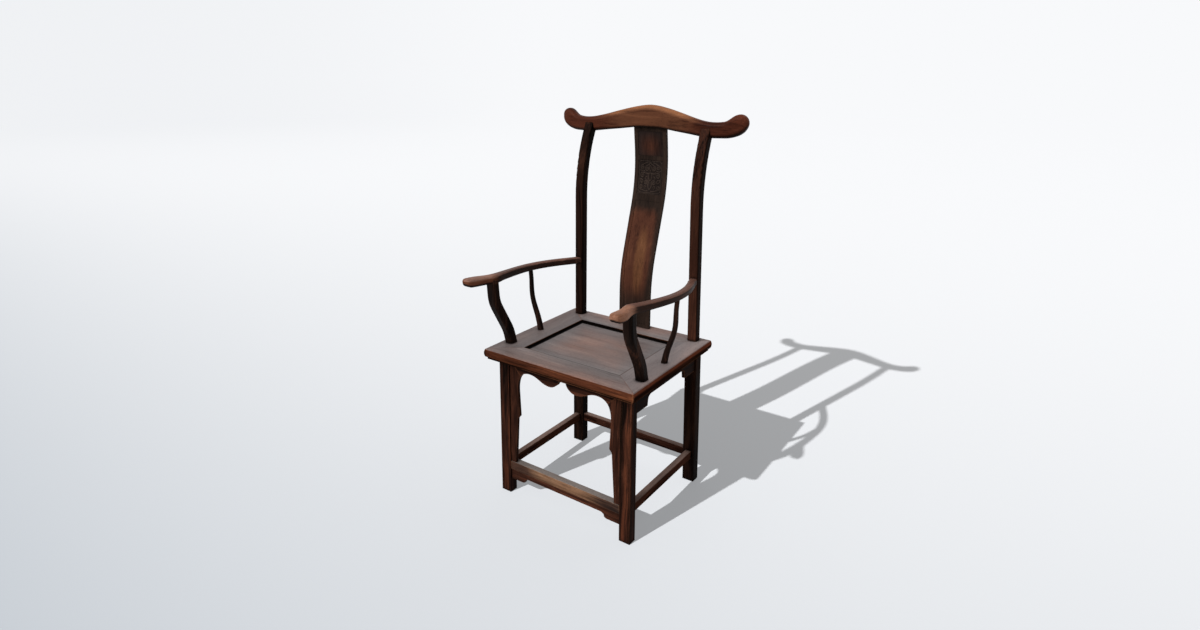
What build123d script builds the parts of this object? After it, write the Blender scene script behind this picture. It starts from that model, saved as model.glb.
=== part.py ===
from build123d import *
import os
from math import pi, radians, sin

# Official's hat armchair, in millimetres. +Z is up, the front faces -Y, and X = 0 is the plane of
# symmetry. Everything is drawn about the centre of the seat frame, with the floor at Z = 0, and
# moved at the end so that the origin lies on the floor under the middle of the whole chair.

# ---- Seat frame and panel ----
seat_width = 548.0
seat_depth = 468.0
seat_height = 512.0
rail_thickness = 34.0
side_rail_width = 97.0
front_rail_width = 80.0
back_rail_width = 87.0
edge_band_height = 26.0       # bowed upper part of the outer edge
edge_bow = 2.5
edge_ease = 2.0
edge_quirk = 3.0              # step in under the band
cove_inset = 7.5              # how far the underside lies inside the outer edge
cove_lip = 2.0
moulding_mitre = 14.0         # reach of the 45-degree part of the mitres, past the moulding
panel_recess = 8.0
panel_thickness = 12.0
tongue_thickness = 6.0
tongue_length = 8.0
corner_tenon_width = 12.0
corner_tenon_thickness = 12.0
corner_tenon_stop = 26.0      # from the frame's side edge to the tenon's end
corner_tenon_wall = 2.0       # between the panel groove and the tenon
batten_spacing = 190.0
batten_width = 24.0
batten_dovetail_neck = 14.0
batten_dovetail_head = 18.0
batten_dovetail_height = 3.0
batten_tenon_length = 12.0
batten_tenon_width = 14.0
batten_tenon_height = 7.0
batten_lift = 1.0             # of the batten's underside above the frame's
batten_shoulder = 1.0         # below its tenons

# ---- Legs and back posts ----
front_leg_width = 39.5
front_leg_depth = 30.5
rear_leg_width = 41.5
rear_leg_depth = 34.0
leg_ease = 2.5
bead_inset = 6.5              # from a leg's edge to its scratched bead line
bead_radius = 0.9
leg_side_inset = 40.0         # from the seat's side edge to a leg's centre, on the floor
front_leg_inset = 41.0        # from the seat's front edge to the leg's centre, on the floor
rear_leg_inset = 25.5
front_lean_in = 0.0165        # inward lean per unit of height, seen from the front
rear_lean_in = 0.0215
front_lean_back = 0.0235      # lean towards the middle of the chair, seen from the side
rear_lean_front = 0.0085
leg_tenon_width = 15.0
leg_tenon_depth = 12.0
leg_tenon_height = 22.0
leg_tenon_shift_x = 6.0       # of the front leg's tenon, away from the corner joint's own tenon
leg_tenon_shift_y = -3.0
post_width = 32.0
post_depth = 29.0
post_corner = 5.5
post_root = 10.0              # of the post's section inside the square leg below it
post_head_depth = 20.4        # of the centre line's end inside the crest rail, above its underside
post_sweep_radius = 504.0     # the top of the post curves back
post_sweep_angle = 26.5
crest_tenon_width = 13.0
crest_tenon_depth = 13.0
crest_tenon_tip = 5.0         # of the tenon past the end of the post's centre line

# ---- Crest rail ----
crest_underside = 622.5       # above the seat, over the post
crest_post_height = 45.5      # height of the rail's section over the post
crest_centre_height = 67.0
crest_centre_rise = 19.5      # underside at the middle, above the underside over the post
crest_overhang = 121.0        # from the post's centre to the tip
crest_depth = 35.0
crest_bow = 21.0              # how far the middle lies behind the part over the posts
crest_set_back = 5.0          # rail's centre behind the end of the post's centre line
crest_top_ease = 0.42         # corner radii of the section, as shares of its smaller side
crest_splat_ease = 0.2        # of the lower corners where the splat enters the rail
crest_peg_diameter = 5.0

# ---- Splat ----
splat_width = 117.0
splat_thickness = 9.5
splat_stile_width = 13.5
splat_rail_height = 13.0
splat_panel_thickness = 6.5
splat_tongue = 3.5
splat_set_back = 28.5         # from the seat's rear edge to the splat's centre line
splat_bend_height = 178.0     # above the seat, where the splat turns back
splat_crown_height = 482.0    # above the seat, where it turns forward again
splat_crown_offset = 91.0
splat_top_offset = 70.0
splat_bend_radius = 500.0
splat_crown_radius = 470.0
splat_foot_tenon = 14.0
splat_core_thickness = 5.0    # of tongues, grooves and tenons
splat_head_tongue = 9.0
splat_lower_rail_height = 21.0
lower_panel_height = 398.0
carved_panel_height = 108.0

# ---- Arms, goosenecks and side posts ----
arm_height = 225.0            # above the seat, at the gooseneck
arm_fall = 28.0               # from the gooseneck to the post
arm_bow = 37.5                # outward bow between them
arm_bow_shift = 1.15          # power of the length; more than 1 puts the fullest part further back
arm_front_width = 32.5
arm_front_height = 27.0
arm_back_width = 26.0
arm_back_height = 22.0
arm_taper = 5.0               # power of the length; a larger one thins it nearer to the gooseneck
arm_ease = 0.36               # corner radius, as a share of the section's smaller side
arm_tenon_length = 16.0
arm_tenon_width = 12.0
paddle_length = 99.0          # from the gooseneck's centre to the arm's tip
paddle_width = 37.0
paddle_height = 26.0
paddle_flare = 14.0           # outward shift of the paddle's middle
gooseneck_width = 31.0
gooseneck_depth = 29.5
gooseneck_corner = 8.0
gooseneck_side_inset = 31.5   # from the seat's side edge
gooseneck_front_inset = 93.0  # from the seat's front edge
gooseneck_reach = 70.0        # how far the top stands in front of the foot
gooseneck_bends = [(0.157, 0.205), (0.957, 0.676)]  # corners of the S, as shares of reach and height
gooseneck_bend_radii = [150.0, 100.0]
gooseneck_tenon = 13.0
gooseneck_tenon_length = 18.0
side_post_foot = 19.0
side_post_head = 12.0
side_post_side_inset = 38.5
side_post_y = -4.0
side_post_lean_out = 34.5
side_post_bends = [(0.19, 0.155), (0.92, 0.515)]  # corners, as shares of the lean and the height
side_post_bend_radii = [120.0, 90.0]
side_post_ease = 0.34         # corner radius, as a share of the section
side_post_taper = 0.7         # power of the length; less than 1 thins it mostly near the foot
side_post_tenon = 9.0
side_post_head_tenon = 6.0
side_post_tenon_length = 16.0
head_tenon_length = 11.0      # of the goosenecks and side posts, into the arms

# ---- Aprons ----
apron_thickness = 10.0
apron_set_back = 5.0          # behind the legs' outer faces
apron_tongue_thickness = 4.0
apron_tongue_length = 5.0
arch_notch_half = 12.5
arch_notch_drop = 22.5        # depths below the seat frame's underside
lobe_centre = 50.0
lobe_drop = 50.5
arch_crown_drop = 30.0
arch_spring_drop = 98.0
cusp_drop = 185.0
arch_crown_inset = 81.0       # distances in from the leg's inner face
arch_spring_inset = 31.0
cusp_inset = 35.0
jamb_inset = 26.0
jamb_foot_inset = 18.5
mitre_reach = 49.0            # of the mitre between the top and side boards
mitre_lip = 1.0               # height of the top board's end, above the mitre
side_apron_drop = 33.0
bracket_drop = 65.0
bracket_length = 85.0

# ---- Stretchers ----
foot_stretcher_depth = 24.0
foot_stretcher_height = 30.0
foot_stretcher_top = 118.0
foot_stretcher_set_back = 2.5
stretcher_depth = 21.0        # keeps the side stretchers' ends between the legs' bead lines
stretcher_height = 28.0
stretcher_top = 116.0
stretcher_ease = 2.0
stretcher_tenon_thickness = 12.0
stretcher_tenon_height = 9.0
stretcher_tenon_length = 20.0
stretcher_tenon_margin = 2.0
foot_apron_drop = 19.0
foot_bracket_drop = 37.0
foot_bracket_length = 45.0

# ---- Fits ----
mortise_relief = 1.0          # free depth past a tenon's end
peg_diameter = 6.0

# ---- Places worked out from the sizes above ----
half_width = seat_width / 2
half_depth = seat_depth / 2
frame_underside = seat_height - rail_thickness
opening_x = half_width - side_rail_width
opening_front = -half_depth + front_rail_width
opening_back = half_depth - back_rail_width
panel_top = seat_height - panel_recess
panel_underside = panel_top - panel_thickness
leg_x = half_width - leg_side_inset
front_leg_y = -half_depth + front_leg_inset
rear_leg_y = half_depth - rear_leg_inset
gooseneck_x = half_width - gooseneck_side_inset
gooseneck_y = -half_depth + gooseneck_front_inset
gooseneck_top_y = gooseneck_y - gooseneck_reach
side_post_x = half_width - side_post_side_inset
splat_y = half_depth - splat_set_back
crest_z = seat_height + crest_underside
post_sweep_rise = post_sweep_radius * sin(radians(post_sweep_angle))
post_bend_z = crest_z + post_head_depth - post_sweep_rise
arm_z = seat_height + arm_height


# ---- Helpers ----
def block(x_span, y_span, z_span):
    """A box between two limits along each axis."""
    spans = (x_span, y_span, z_span)
    centre = [(low + high) / 2 for low, high in spans]
    return Pos(*centre) * Box(*[high - low for low, high in spans])


def around(middle, size):
    """The span of a given size about its middle."""
    return (middle - size / 2, middle + size / 2)


def mirrored(shape):
    return mirror(shape, about=Plane.YZ)


def both(shape):
    """A shape on the right with its mirror image on the left."""
    return shape + mirrored(shape)


def largest(shape):
    """The main solid of a cut, without the offcuts beyond the piece it was cut by."""
    return max(shape.solids(), key=lambda solid: solid.volume)


def mortise(tenon, direction):
    """The tenon's own space, deepened past its end."""
    return tenon + Pos(*(Vector(*direction) * mortise_relief)) * tenon


def bar_section(width, height, corner_share):
    """Rectangle whose corner radius is a share of its smaller side."""
    return RectangleRounded(width, height, corner_share * min(width, height))


def front_leg_at(z):
    """Centre of the right front leg in plan at a height."""
    return leg_x - front_lean_in * z, front_leg_y + front_lean_back * z


def rear_leg_at(z):
    """Centre of the right rear leg, and of the straight part of the post above it, at a height."""
    return leg_x - rear_lean_in * z, rear_leg_y - rear_lean_front * z


# ---- Legs ----
def leg_section(width, depth):
    """Eased rectangle with scratched bead lines on the front and on the outer side."""
    section = RectangleRounded(width, depth, leg_ease)
    for side in (-1, 1):
        section -= Pos(side * (width / 2 - bead_inset), -depth / 2) * Circle(bead_radius)
        section -= Pos(width / 2, side * (depth / 2 - bead_inset)) * Circle(bead_radius)
    return section


def leaning_leg(section, axis_at):
    """A section run from the floor to the seat frame along the leg's leaning axis."""
    foot = Vector(*axis_at(0), 0)
    head = Vector(*axis_at(frame_underside), frame_underside)
    axis = head - foot
    return extrude(Pos(*foot) * section, amount=axis.length, dir=axis)


def post_path():
    """Centre line of the back post: straight with the leg's lean, then curving back."""
    root_z = frame_underside - post_root
    root = Vector(*rear_leg_at(root_z), root_z)
    bend = Vector(*rear_leg_at(post_bend_z), post_bend_z)
    lean = (bend - root).normalized()
    side = Vector(0, 1, 0).cross(lean)
    sweep_plane = Plane(origin=bend, x_dir=lean.cross(side), z_dir=side)
    arc = sweep_plane * CenterArc((post_sweep_radius, 0), post_sweep_radius, 180, -post_sweep_angle)
    return Wire([Line(root, bend).edge(), arc.edge()])


front_leg_top = front_leg_at(frame_underside)
front_leg_blank = leaning_leg(leg_section(front_leg_width, front_leg_depth), front_leg_at)
rear_leg_blank = leaning_leg(leg_section(rear_leg_width, rear_leg_depth), rear_leg_at)

back_path = post_path()
post_plane = Plane(origin=back_path @ 0, x_dir=Vector(1, 0, 0), z_dir=back_path % 0)
post_blank = sweep(post_plane * RectangleRounded(post_width, post_depth, post_corner), path=back_path)
post_head = back_path @ 1
post_head_direction = back_path % 1


# ---- Crest rail ----
def crest_stations():
    """Sections of the rail's right half: x, height, depth, underside above and centre behind the post."""
    post_x = post_head.X
    tip_x = post_x + crest_overhang
    middle = [
        (0.00, 1.00, 1.00, 1.00, 1.00),
        (0.26, 0.77, 1.00, 0.90, 0.90),
        (0.51, 0.51, 0.99, 0.58, 0.62),
        (0.77, 0.14, 0.97, 0.28, 0.26),
        (1.00, 0.00, 0.95, 0.00, 0.00),
    ]
    swell = crest_centre_height - crest_post_height
    for along, fullness, depth, rise, bow in middle:
        height = crest_post_height + swell * fullness
        yield post_x * along, height, crest_depth * depth, crest_centre_rise * rise, crest_bow * bow
    end = [
        (88.0, 1.00, 0.95, -0.5, 1.5),
        (61.0, 1.10, 1.00, 0.5, 5.0),
        (43.0, 1.30, 1.06, 3.5, 8.0),
        (25.0, 1.29, 1.06, 10.0, 10.5),
        (11.0, 0.98, 0.90, 20.0, 12.0),
        (4.0, 0.62, 0.66, 29.5, 13.0),
        (0.0, 0.22, 0.30, 38.0, 13.5),
    ]
    for from_tip, height, depth, rise, bow in end:
        yield tip_x - from_tip, crest_post_height * height, crest_depth * depth, rise, bow


def crest_section(x, height, depth, rise, bow):
    """One section; the lower corners are tighter near the middle, which leaves a flat for the splat."""
    side = min(height, depth)
    out = min(x / post_head.X, 1)
    lower_ease = crest_splat_ease + (crest_top_ease - crest_splat_ease) * out**2
    outline = Rectangle(depth, height)
    outline = fillet(outline.vertices().sort_by(Axis.Y)[:2], lower_ease * side)
    outline = fillet(outline.vertices().sort_by(Axis.Y)[-2:], crest_top_ease * side)
    middle = Vector(x, crest_y + bow, crest_z + rise + height / 2)
    return Plane(origin=middle, x_dir=(0, 1, 0), z_dir=(1, 0, 0)) * outline


crest_y = post_head.Y + crest_set_back
right_half = [crest_section(*station) for station in crest_stations()]
left_half = [mirrored(section) for section in right_half[:0:-1]]
crest_blank = loft([*left_half, *right_half])

crest_tenon = Plane(origin=post_head, x_dir=(1, 0, 0), z_dir=post_head_direction) * block(
    around(0, crest_tenon_width), around(0, crest_tenon_depth), (-post_depth, crest_tenon_tip)
)
crest_peg = crest_blank & (
    Pos(post_head.X, crest_y + crest_depth / 2, post_head.Z)
    * Rot(90, 0, 0)
    * Cylinder(crest_peg_diameter / 2, crest_depth + crest_tenon_depth)
)
rear_leg = rear_leg_blank + largest(post_blank - crest_blank) + crest_tenon - crest_peg


# ---- Seat frame ----
def moulded_section(half):
    """Cross-section of the whole frame, with the moulded edge on both sides."""
    step = rail_thickness - edge_band_height
    cove_x = half - cove_inset
    band_x = half - edge_bow
    outline = [
        Line((0, 0), (cove_x, 0)),
        Line((cove_x, 0), (cove_x, cove_lip)),
        TangentArc((cove_x, cove_lip), (band_x - edge_quirk, step), tangent=(0, 1)),
        Line((band_x - edge_quirk, step), (band_x, step)),
        ThreePointArc(
            (band_x, step),
            (half, step + edge_band_height / 2),
            (band_x, rail_thickness - edge_ease),
        ),
        Line((band_x, rail_thickness - edge_ease), (band_x - edge_ease, rail_thickness)),
        Line((band_x - edge_ease, rail_thickness), (0, rail_thickness)),
        Line((0, rail_thickness), (0, 0)),
    ]
    half_section = make_face(Curve() + outline)
    return half_section + mirrored(half_section)


def mitre_points(x_sign, y_sign):
    """Plan of one mitre, from outside the corner, across the moulding at 45 degrees, to the opening."""
    beyond = (x_sign * (half_width + moulding_mitre), y_sign * (half_depth + moulding_mitre))
    within = (x_sign * (half_width - moulding_mitre), y_sign * (half_depth - moulding_mitre))
    opening_y = opening_front if y_sign < 0 else opening_back
    return [beyond, within, (x_sign * opening_x, opening_y)]


def frame_rail(section, half_length, first_corner, last_corner):
    """A length of moulded bar less the opening, cut along the mitres at both ends."""
    bar = extrude(section, amount=half_length + moulding_mitre, both=True)
    plan = Polygon(*mitre_points(*first_corner), *reversed(mitre_points(*last_corner)), align=None)
    return largest((bar - opening) & extrude(plan, amount=seat_height + panel_recess, dir=(0, 0, 1)))


def corner_tenon(inner_y, outward):
    """Tenon at the right end of the front or back rail; outward is -1 at the front, 1 at the back."""
    near = tongue_length + mortise_relief + corner_tenon_wall
    x_span = (opening_x, half_width - corner_tenon_stop)
    y_span = sorted((inner_y + outward * near, inner_y + outward * (near + corner_tenon_width)))
    return block(x_span, y_span, around(frame_underside + rail_thickness / 2, corner_tenon_thickness))


def corner_peg(inner_y, outward, rail_width):
    """Peg from below through the middle of the tenon's free length."""
    reach = tongue_length + mortise_relief + corner_tenon_wall + corner_tenon_width / 2
    mitre_x = opening_x + reach * side_rail_width / rail_width
    peg_x = (mitre_x + half_width - corner_tenon_stop) / 2
    height = rail_thickness / 2 + corner_tenon_thickness / 2 + mortise_relief
    return Pos(peg_x, inner_y + outward * reach, frame_underside + height / 2) * Cylinder(
        peg_diameter / 2, height
    )


opening = block((-opening_x, opening_x), (opening_front, opening_back), (0, seat_height + panel_recess))
side_section = Plane.XZ * Pos(0, frame_underside) * moulded_section(half_width)
end_section = Plane.YZ * Pos(0, frame_underside) * moulded_section(half_depth)
rail_front = frame_rail(end_section, half_width, (-1, -1), (1, -1))
rail_back = frame_rail(end_section, half_width, (-1, 1), (1, 1))
rail_right = frame_rail(side_section, half_depth, (1, -1), (1, 1))

front_corner_tenon = corner_tenon(opening_front, -1)
back_corner_tenon = corner_tenon(opening_back, 1)
front_corner_peg = corner_peg(opening_front, -1, front_rail_width)
back_corner_peg = corner_peg(opening_back, 1, back_rail_width)
corner_pegs = both(front_corner_peg + back_corner_peg)

tongue_z = (panel_underside, panel_underside + tongue_thickness)
groove_reach = tongue_length + mortise_relief
panel_groove = block(
    (-opening_x - groove_reach, opening_x + groove_reach),
    (opening_front - groove_reach, opening_back + groove_reach),
    tongue_z,
)
panel_body = block(
    (-opening_x, opening_x),
    (opening_front, opening_back),
    (panel_underside, panel_top),
)
panel_tongue = block(
    (-opening_x - tongue_length, opening_x + tongue_length),
    (opening_front - tongue_length, opening_back + tongue_length),
    tongue_z,
)
panel_blank = panel_body + panel_tongue


def batten():
    """Right-hand batten: a bar under the panel with a dovetailed top and a tenon at each end."""
    bottom = frame_underside + batten_lift
    neck = batten_dovetail_neck / 2
    head = batten_dovetail_head / 2
    half = batten_width / 2
    top = panel_underside + batten_dovetail_height
    right_side = [(neck, panel_underside), (head, top)]
    left_side = [(-head, top), (-neck, panel_underside)]
    low_corners = [(-half, panel_underside), (-half, bottom), (half, bottom), (half, panel_underside)]
    outline = [*low_corners, *right_side, *left_side]
    bar = extrude(Plane.XZ * Polygon(*outline, align=None), amount=-(opening_back - opening_front))
    tenon = block(
        around(0, batten_tenon_width),
        (-batten_tenon_length, opening_back - opening_front + batten_tenon_length),
        (bottom + batten_shoulder, bottom + batten_shoulder + batten_tenon_height),
    )
    return Pos(batten_spacing / 2, opening_front, 0) * (bar + tenon)


batten_right = batten()
battens = both(batten_right)
batten_relief = Pos(0, mortise_relief, 0) * battens + Pos(0, -mortise_relief, 0) * battens

leg_tenon = block(
    around(front_leg_top[0] + leg_tenon_shift_x, leg_tenon_width),
    around(front_leg_top[1] + leg_tenon_shift_y, leg_tenon_depth),
    (frame_underside - leg_ease, frame_underside + leg_tenon_height),
)
front_leg = front_leg_blank + leg_tenon


# ---- Arms ----
arm_back_z = arm_z - arm_fall
arm_back_x, post_axis_y = rear_leg_at(arm_back_z)
arm_back_y = post_axis_y - post_depth / 2
arm_run = arm_back_y - gooseneck_top_y


def arm_section(x, y, z, width, height):
    """Rounded cross-section of the arm in a plane of constant Y."""
    plane = Plane(origin=(x, y, z), x_dir=(1, 0, 0), z_dir=(0, 1, 0))
    return plane * bar_section(width, height, arm_ease)


def arm_behind_gooseneck(along):
    """Section of the arm between the gooseneck, at 0, and the back post's face, at 1."""
    inside = min(along, 1)
    bow = arm_bow * sin(pi * inside**arm_bow_shift)
    x = gooseneck_x + (arm_back_x - gooseneck_x) * along + bow
    taper = (1 - inside) ** arm_taper
    width = arm_back_width + (arm_front_width - arm_back_width) * taper
    height = arm_back_height + (arm_front_height - arm_back_height) * taper
    return arm_section(x, gooseneck_top_y + arm_run * along, arm_z - arm_fall * along, width, height)


def arm_before_gooseneck(ahead, flare, width, height, lift):
    """Section of the paddle: distance ahead and the rest as shares of the paddle's sizes."""
    z = arm_z + arm_fall / arm_run * paddle_length * ahead + lift
    return arm_section(
        gooseneck_x + paddle_flare * flare,
        gooseneck_top_y - paddle_length * ahead,
        z,
        paddle_width * width,
        paddle_height * height,
    )


paddle = [
    (1.00, 1.00, 0.24, 0.28, 4.0),
    (0.97, 1.00, 0.62, 0.62, 3.0),
    (0.90, 1.00, 0.89, 0.90, 1.5),
    (0.77, 1.00, 1.00, 1.00, 0.5),
    (0.55, 0.88, 0.98, 1.02, 0.0),
    (0.28, 0.45, 0.84, 1.03, 0.0),
]
past_face = 1 + arm_back_height / 2 / arm_run
shares = [0, 0.1, 0.22, 0.34, 0.46, 0.58, 0.7, 0.82, 0.92, past_face]
paddle_sections = [arm_before_gooseneck(*row) for row in paddle]
arm_blank = loft(paddle_sections + [arm_behind_gooseneck(share) for share in shares])

arm_tenon = block(
    around(arm_back_x, arm_tenon_width),
    (arm_back_y - arm_back_height, arm_back_y + arm_tenon_length),
    around(arm_back_z, arm_tenon_width),
)


# ---- Goosenecks and side posts ----
def bent_path(foot, sideways, height, bends, radii, root):
    """Filleted line in a plane, from root below the foot, through the bends, to the arm's middle."""
    share, level = bends[0]
    slope = share * sideways / (level * height)
    start = (foot[0] - slope * root, foot[1] - root)
    corners = [(foot[0] + share * sideways, foot[1] + level * height) for share, level in bends]
    end = (foot[0] + sideways, foot[1] + height)
    return FilletPolyline(start, *corners, end, radius=radii)


above_seat = block((0, seat_width), (-seat_depth, seat_depth), (seat_height, 2 * seat_height))

neck_side = Plane(origin=(gooseneck_x, 0, 0), x_dir=(0, 1, 0), z_dir=(1, 0, 0))
neck_path = neck_side * bent_path(
    (gooseneck_y, seat_height),
    -gooseneck_reach,
    arm_height,
    gooseneck_bends,
    gooseneck_bend_radii,
    gooseneck_corner,
)
neck_plane = Plane(origin=neck_path @ 0, x_dir=(1, 0, 0), z_dir=neck_path % 0)
neck_section = neck_plane * RectangleRounded(gooseneck_width, gooseneck_depth, gooseneck_corner)
neck_blank = largest((sweep(neck_section, path=neck_path) & above_seat) - arm_blank)
neck_head_z = arm_z - arm_front_height / 2
neck_head_tenon = block(
    around(gooseneck_x, gooseneck_tenon),
    around(gooseneck_top_y, gooseneck_tenon),
    (neck_head_z - gooseneck_tenon, neck_head_z + head_tenon_length),
)
neck_foot_tenon = block(
    around(gooseneck_x, gooseneck_tenon),
    around(gooseneck_y, gooseneck_tenon),
    (seat_height - gooseneck_tenon_length, seat_height + gooseneck_tenon / 2),
)
gooseneck = neck_blank + neck_head_tenon + neck_foot_tenon

stick_side = Plane(origin=(0, side_post_y, 0), x_dir=(1, 0, 0), z_dir=(0, -1, 0))
stick_path = stick_side * bent_path(
    (side_post_x, seat_height),
    side_post_lean_out,
    arm_height - arm_fall / 2,
    side_post_bends,
    side_post_bend_radii,
    side_post_foot,
)


def stick_section(share):
    """Rounded square of the side post at a share of its length."""
    size = side_post_foot + (side_post_head - side_post_foot) * share**side_post_taper
    plane = Plane(origin=stick_path @ share, x_dir=(0, 1, 0), z_dir=stick_path % share)
    return plane * bar_section(size, size, side_post_ease)


stick_sections = [stick_section(step / 8) for step in range(9)]
stick_blank = largest((loft(stick_sections) & above_seat) - arm_blank)
stick_head = stick_path @ 1
stick_tenon_top = stick_head.Z - arm_back_height / 2 + head_tenon_length
stick_head_tenon = block(
    around(stick_head.X, side_post_head_tenon),
    around(side_post_y, side_post_head_tenon),
    (stick_tenon_top - head_tenon_length - side_post_head, stick_tenon_top),
)
stick_foot_tenon = block(
    around(side_post_x, side_post_tenon),
    around(side_post_y, side_post_tenon),
    (seat_height - side_post_tenon_length, seat_height + side_post_tenon / 2),
)
side_post = stick_blank + stick_head_tenon + stick_foot_tenon


# ---- Splat ----
def splat_path():
    """Side view of the splat's middle: straight, leaning back, then turning forward at the crown."""
    points = [
        (splat_y, seat_height - splat_foot_tenon),
        (splat_y, seat_height + splat_bend_height),
        (splat_y + splat_crown_offset, seat_height + splat_crown_height),
        (splat_y + splat_top_offset, crest_z + crest_centre_rise + crest_centre_height / 2),
    ]
    return Plane.YZ * FilletPolyline(*points, radius=[splat_bend_radius, splat_crown_radius])


def splat_bar(x_span, thickness, z_span):
    """A strip of the splat's curve between two widths and two heights."""
    width = x_span[1] - x_span[0]
    section = Pos(sum(x_span) / 2, splat_y, seat_height - splat_foot_tenon) * Rectangle(width, thickness)
    slice_box = block((-half_width, half_width), (0, seat_depth), z_span)
    return sweep(section, path=splat_curve) & slice_box


splat_curve = splat_path()
head_z = crest_z + crest_centre_rise
field_half = splat_width / 2 - splat_stile_width
tongued = (-field_half - splat_tongue, field_half + splat_tongue)
between = (-field_half, field_half)
bottom_rail_z = (seat_height, seat_height + splat_rail_height)
lower_panel_z = (bottom_rail_z[1], bottom_rail_z[1] + lower_panel_height)
lower_rail_z = (lower_panel_z[1], lower_panel_z[1] + splat_lower_rail_height)
carved_panel_z = (lower_rail_z[1], lower_rail_z[1] + carved_panel_height)
upper_rail_z = (carved_panel_z[1], carved_panel_z[1] + splat_rail_height)
top_panel_z = (upper_rail_z[1], head_z - splat_rail_height)

groove_x = (field_half, field_half + splat_tongue)
stile_x = (field_half, splat_width / 2)
head_tongue_z = (head_z - splat_rail_height, head_z + splat_head_tongue)


def splat_field(thickness, z_span):
    """A rail or panel between the stiles, with the tongue that runs in their grooves."""
    return splat_bar(between, thickness, z_span) + splat_bar(tongued, splat_core_thickness, z_span)


splat_pieces = {
    "splat_rail_bottom": splat_field(splat_thickness, bottom_rail_z),
    "splat_panel_lower": splat_field(splat_panel_thickness, lower_panel_z),
    "splat_rail_lower": splat_field(splat_thickness, lower_rail_z),
    "splat_panel_carved": splat_field(splat_panel_thickness, carved_panel_z),
    "splat_rail_upper": splat_field(splat_thickness, upper_rail_z),
    "splat_panel_top": splat_field(splat_panel_thickness, top_panel_z),
}
top_rail_body = largest(splat_bar(between, splat_thickness, head_tongue_z) - crest_blank)
top_rail_tongue = splat_bar(tongued, splat_core_thickness, head_tongue_z)
splat_pieces["splat_rail_top"] = top_rail_body + top_rail_tongue

stile_body = splat_bar(stile_x, splat_thickness, (seat_height, head_tongue_z[1])) - crest_blank
stile_head = splat_bar(stile_x, splat_core_thickness, head_tongue_z)
stile_foot = block(
    (groove_x[1], splat_width / 2),
    around(splat_y, splat_core_thickness),
    (seat_height - splat_foot_tenon, seat_height + splat_core_thickness),
)
stile_groove = splat_bar(groove_x, splat_core_thickness, (seat_height, head_tongue_z[1]))
stile = largest(stile_body) + stile_foot + stile_head - stile_groove


# ---- Aprons and stretchers ----
def board_with_brackets(half_length):
    """Outline of a straight apron with a stepped bracket at each end, hung from the frame."""
    straight_z = frame_underside - side_apron_drop
    bracket_z = frame_underside - bracket_drop
    middle_z = (straight_z + bracket_z) / 2
    start = half_length - bracket_length
    step = start + bracket_length / 5
    end = half_length + leg_ease
    corners = [
        (step, middle_z),
        (step + leg_ease, bracket_z),
        (end, bracket_z),
        (end, frame_underside),
        (0, frame_underside),
        (0, straight_z),
        (start, straight_z),
    ]
    outline = Polyline(*corners) + TangentArc(corners[-1], corners[0], tangent=(1, 0))
    half_face = make_face(outline)
    return half_face + mirrored(half_face)


def hung_tongues(half_length):
    """Tongues of such an apron: into the frame above it and into the leg at each end."""
    low = frame_underside - side_apron_drop + apron_tongue_length
    top = block(
        (-half_length, half_length),
        around(0, apron_tongue_thickness),
        (low, frame_underside + apron_tongue_length),
    )
    reach = half_length + apron_tongue_length
    return top + block((-reach, reach), around(0, apron_tongue_thickness), (low, frame_underside))


def hung_apron(placing, half_length, legs):
    """Board and tongues together, coped to the legs it runs between."""
    board = extrude(Plane.XZ * board_with_brackets(half_length), amount=apron_thickness / 2, both=True)
    tongues = placing * hung_tongues(half_length)
    return largest(placing * board - legs) + tongues, tongues


apron_z = frame_underside - side_apron_drop
rear_inner_x = rear_leg_at(apron_z)[0] - rear_leg_width / 2
side_front_y = front_leg_at(apron_z)[1] + front_leg_depth / 2
side_back_y = rear_leg_at(apron_z)[1] - rear_leg_depth / 2
side_board_x = (
    min(rear_leg_at(apron_z)[0] + rear_leg_width / 2, front_leg_at(apron_z)[0] + front_leg_width / 2)
    - apron_set_back
    - apron_thickness / 2
)
rear_board_y = rear_leg_at(apron_z)[1] + rear_leg_depth / 2 - apron_set_back - apron_thickness / 2
side_placing = Pos(side_board_x, (side_front_y + side_back_y) / 2, 0) * Rot(0, 0, 90)
side_half = (side_back_y - side_front_y) / 2
all_legs = both(front_leg_blank + rear_leg_blank)
side_apron, side_apron_tongues = hung_apron(side_placing, side_half, all_legs)
rear_apron, rear_apron_tongues = hung_apron(Pos(0, rear_board_y, 0), rear_inner_x, all_legs)


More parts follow.
